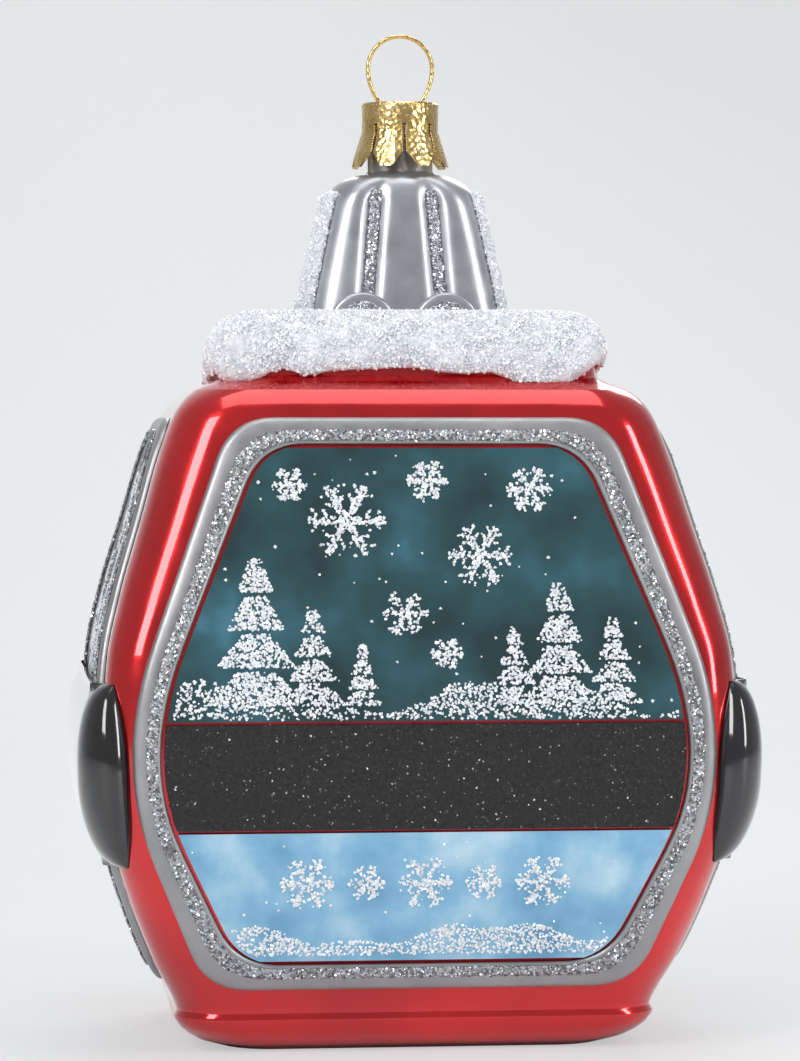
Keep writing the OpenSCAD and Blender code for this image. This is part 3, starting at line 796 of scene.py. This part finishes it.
def cap():
    """Gilds the CAD's cap and loop, and adds the cap's beads."""
    for node in ("crown_cap", "hanging_loop"):
        obj = frame["nodes"][node]
        obj.data.materials.clear()
        obj.data.materials.append(GILT)
    verts, faces = [], []
    for x, y, z, r in bead_places():
        base = len(verts)
        for i in range(1, 5):
            for j in range(8):
                lat, lon = math.pi * i / 5, math.pi * j / 4
                verts.append((x + r * math.sin(lat) * math.cos(lon),
                              y + r * math.sin(lat) * math.sin(lon), z + r * math.cos(lat)))
        verts += [(x, y, z + r), (x, y, z - r)]
        for j in range(8):
            k = (j + 1) % 8
            faces += [(base + 8 * i + j, base + 8 * (i + 1) + j,
                       base + 8 * (i + 1) + k, base + 8 * i + k) for i in range(3)]
            faces += [(base + 32, base + j, base + k), (base + 33, base + 24 + k, base + 24 + j)]
    dress(outward(add_mesh("crown_beads", verts, faces)), GILT, "cap", "gilt_metal")


# ---------------------------------------------------------------- studio
ROOM_GREY = (0.80, 0.81, 0.82)
SENSOR = 24
# Lamps: name, place, width and height in metres, power in watts.
LAMPS = [
    ("key", (-0.30, -0.34, 0.34), (0.16, 0.34), 1.5),
    ("fill", (0.38, -0.26, 0.22), (0.08, 0.34), 0.9),
    ("rim", (0.10, 0.40, 0.32), (0.30, 0.20), 0.8),
    ("top", (0, -0.05, 0.5), (0.3, 0.3), 0.6)]


def area_light(name, place, size, energy, target=(0, 0, 0.06)):
    data = bpy.data.lights.new(name, "AREA")
    data.shape, data.size, data.size_y, data.energy = "RECTANGLE", size[0], size[1], energy
    lamp = bpy.data.objects.new(name, data)
    lamp.location = place
    lamp.rotation_euler = (Vector(target) - Vector(place)).to_track_quat("-Z", "Y").to_euler()
    bpy.context.scene.collection.objects.link(lamp)


def world():
    """A grey studio that lights the piece softly and that the camera sees at full strength."""
    scene = bpy.context.scene
    scene.view_settings.view_transform = "Standard"
    room = bpy.data.worlds.new("studio")
    scene.world = room
    room.use_nodes = True
    nodes, links = room.node_tree.nodes, room.node_tree.links
    back = nodes["Background"]
    back.inputs["Color"].default_value = (*ROOM_GREY, 1)
    back.inputs["Strength"].default_value = 0.42
    seen = nodes.new("ShaderNodeBackground")
    seen.inputs["Color"].default_value = (*ROOM_GREY, 1)
    path, mix = nodes.new("ShaderNodeLightPath"), nodes.new("ShaderNodeMixShader")
    links.new(path.outputs["Is Camera Ray"], mix.inputs[0])
    links.new(back.outputs[0], mix.inputs[1])
    links.new(seen.outputs[0], mix.inputs[2])
    links.new(mix.outputs[0], nodes["World Output"].inputs["Surface"])


def backdrop():
    """A sheet of paper that lies flat, curves up behind and glows a little to the camera."""
    profile = [(-700, 0), (330, 0)]
    profile += [(330 + 170 * math.sin(t), 170 - 170 * math.cos(t))
                for t in np.radians(np.linspace(6, 90, 15))]
    profile += [(500, 900)]
    verts = [(x, y, z) for y, z in profile for x in (-1200, 1200)]
    faces = [(2 * i, 2 * i + 1, 2 * i + 3, 2 * i + 2) for i in range(len(profile) - 1)]
    floor = add_mesh("floor", verts, faces)
    paper = Shader("paper", ROOM_GREY, 0.6)
    paper.colour(paper.noise(6, 2), [(0.3, (0.78, 0.79, 0.80)), (0.7, (0.82, 0.83, 0.84))])
    glow = paper.nodes.new("ShaderNodeEmission")
    glow.inputs["Color"].default_value = (0.79, 0.80, 0.81, 1)
    seen_by, share = paper.nodes.new("ShaderNodeLightPath"), paper.nodes.new("ShaderNodeMath")
    share.operation = "MULTIPLY"
    share.inputs[1].default_value = 0.62
    paper.links.new(seen_by.outputs["Is Camera Ray"], share.inputs[0])
    blend = paper.nodes.new("ShaderNodeMixShader")
    paper.links.new(share.outputs[0], blend.inputs[0])
    paper.links.new(paper.bsdf.outputs[0], blend.inputs[1])
    paper.links.new(glow.outputs[0], blend.inputs[2])
    paper.links.new(blend.outputs[0], paper.nodes["Material Output"].inputs["Surface"])
    floor.data.materials.append(paper.mat)


def camera_rig():
    """A long lens a little above the middle of the piece, to the left of its front, in metres."""
    data = bpy.data.cameras.new("camera")
    data.sensor_fit, data.sensor_height = "VERTICAL", SENSOR
    distance, tall = 0.50, 0.1275
    data.lens = SENSOR / 2 / (tall / 2 / distance)
    camera = bpy.data.objects.new("camera", data)
    azimuth = math.radians(-6)
    aim = Vector((0, 0, 0.0597))
    camera.location = aim + Vector((math.sin(azimuth), -math.cos(azimuth), 0.025)) * distance
    camera.rotation_euler = (aim - camera.location).to_track_quat("-Z", "Y").to_euler()
    bpy.context.scene.collection.objects.link(camera)
    bpy.context.scene.camera = camera


def studio():
    world()
    backdrop()
    for lamp in LAMPS:
        area_light(*lamp)
    camera_rig()


studio()
cabin()
hanger()
windows()
panes()
motifs()
bumpers()
roof_snow()
hanger_snow()
hanger_lines()
cap()
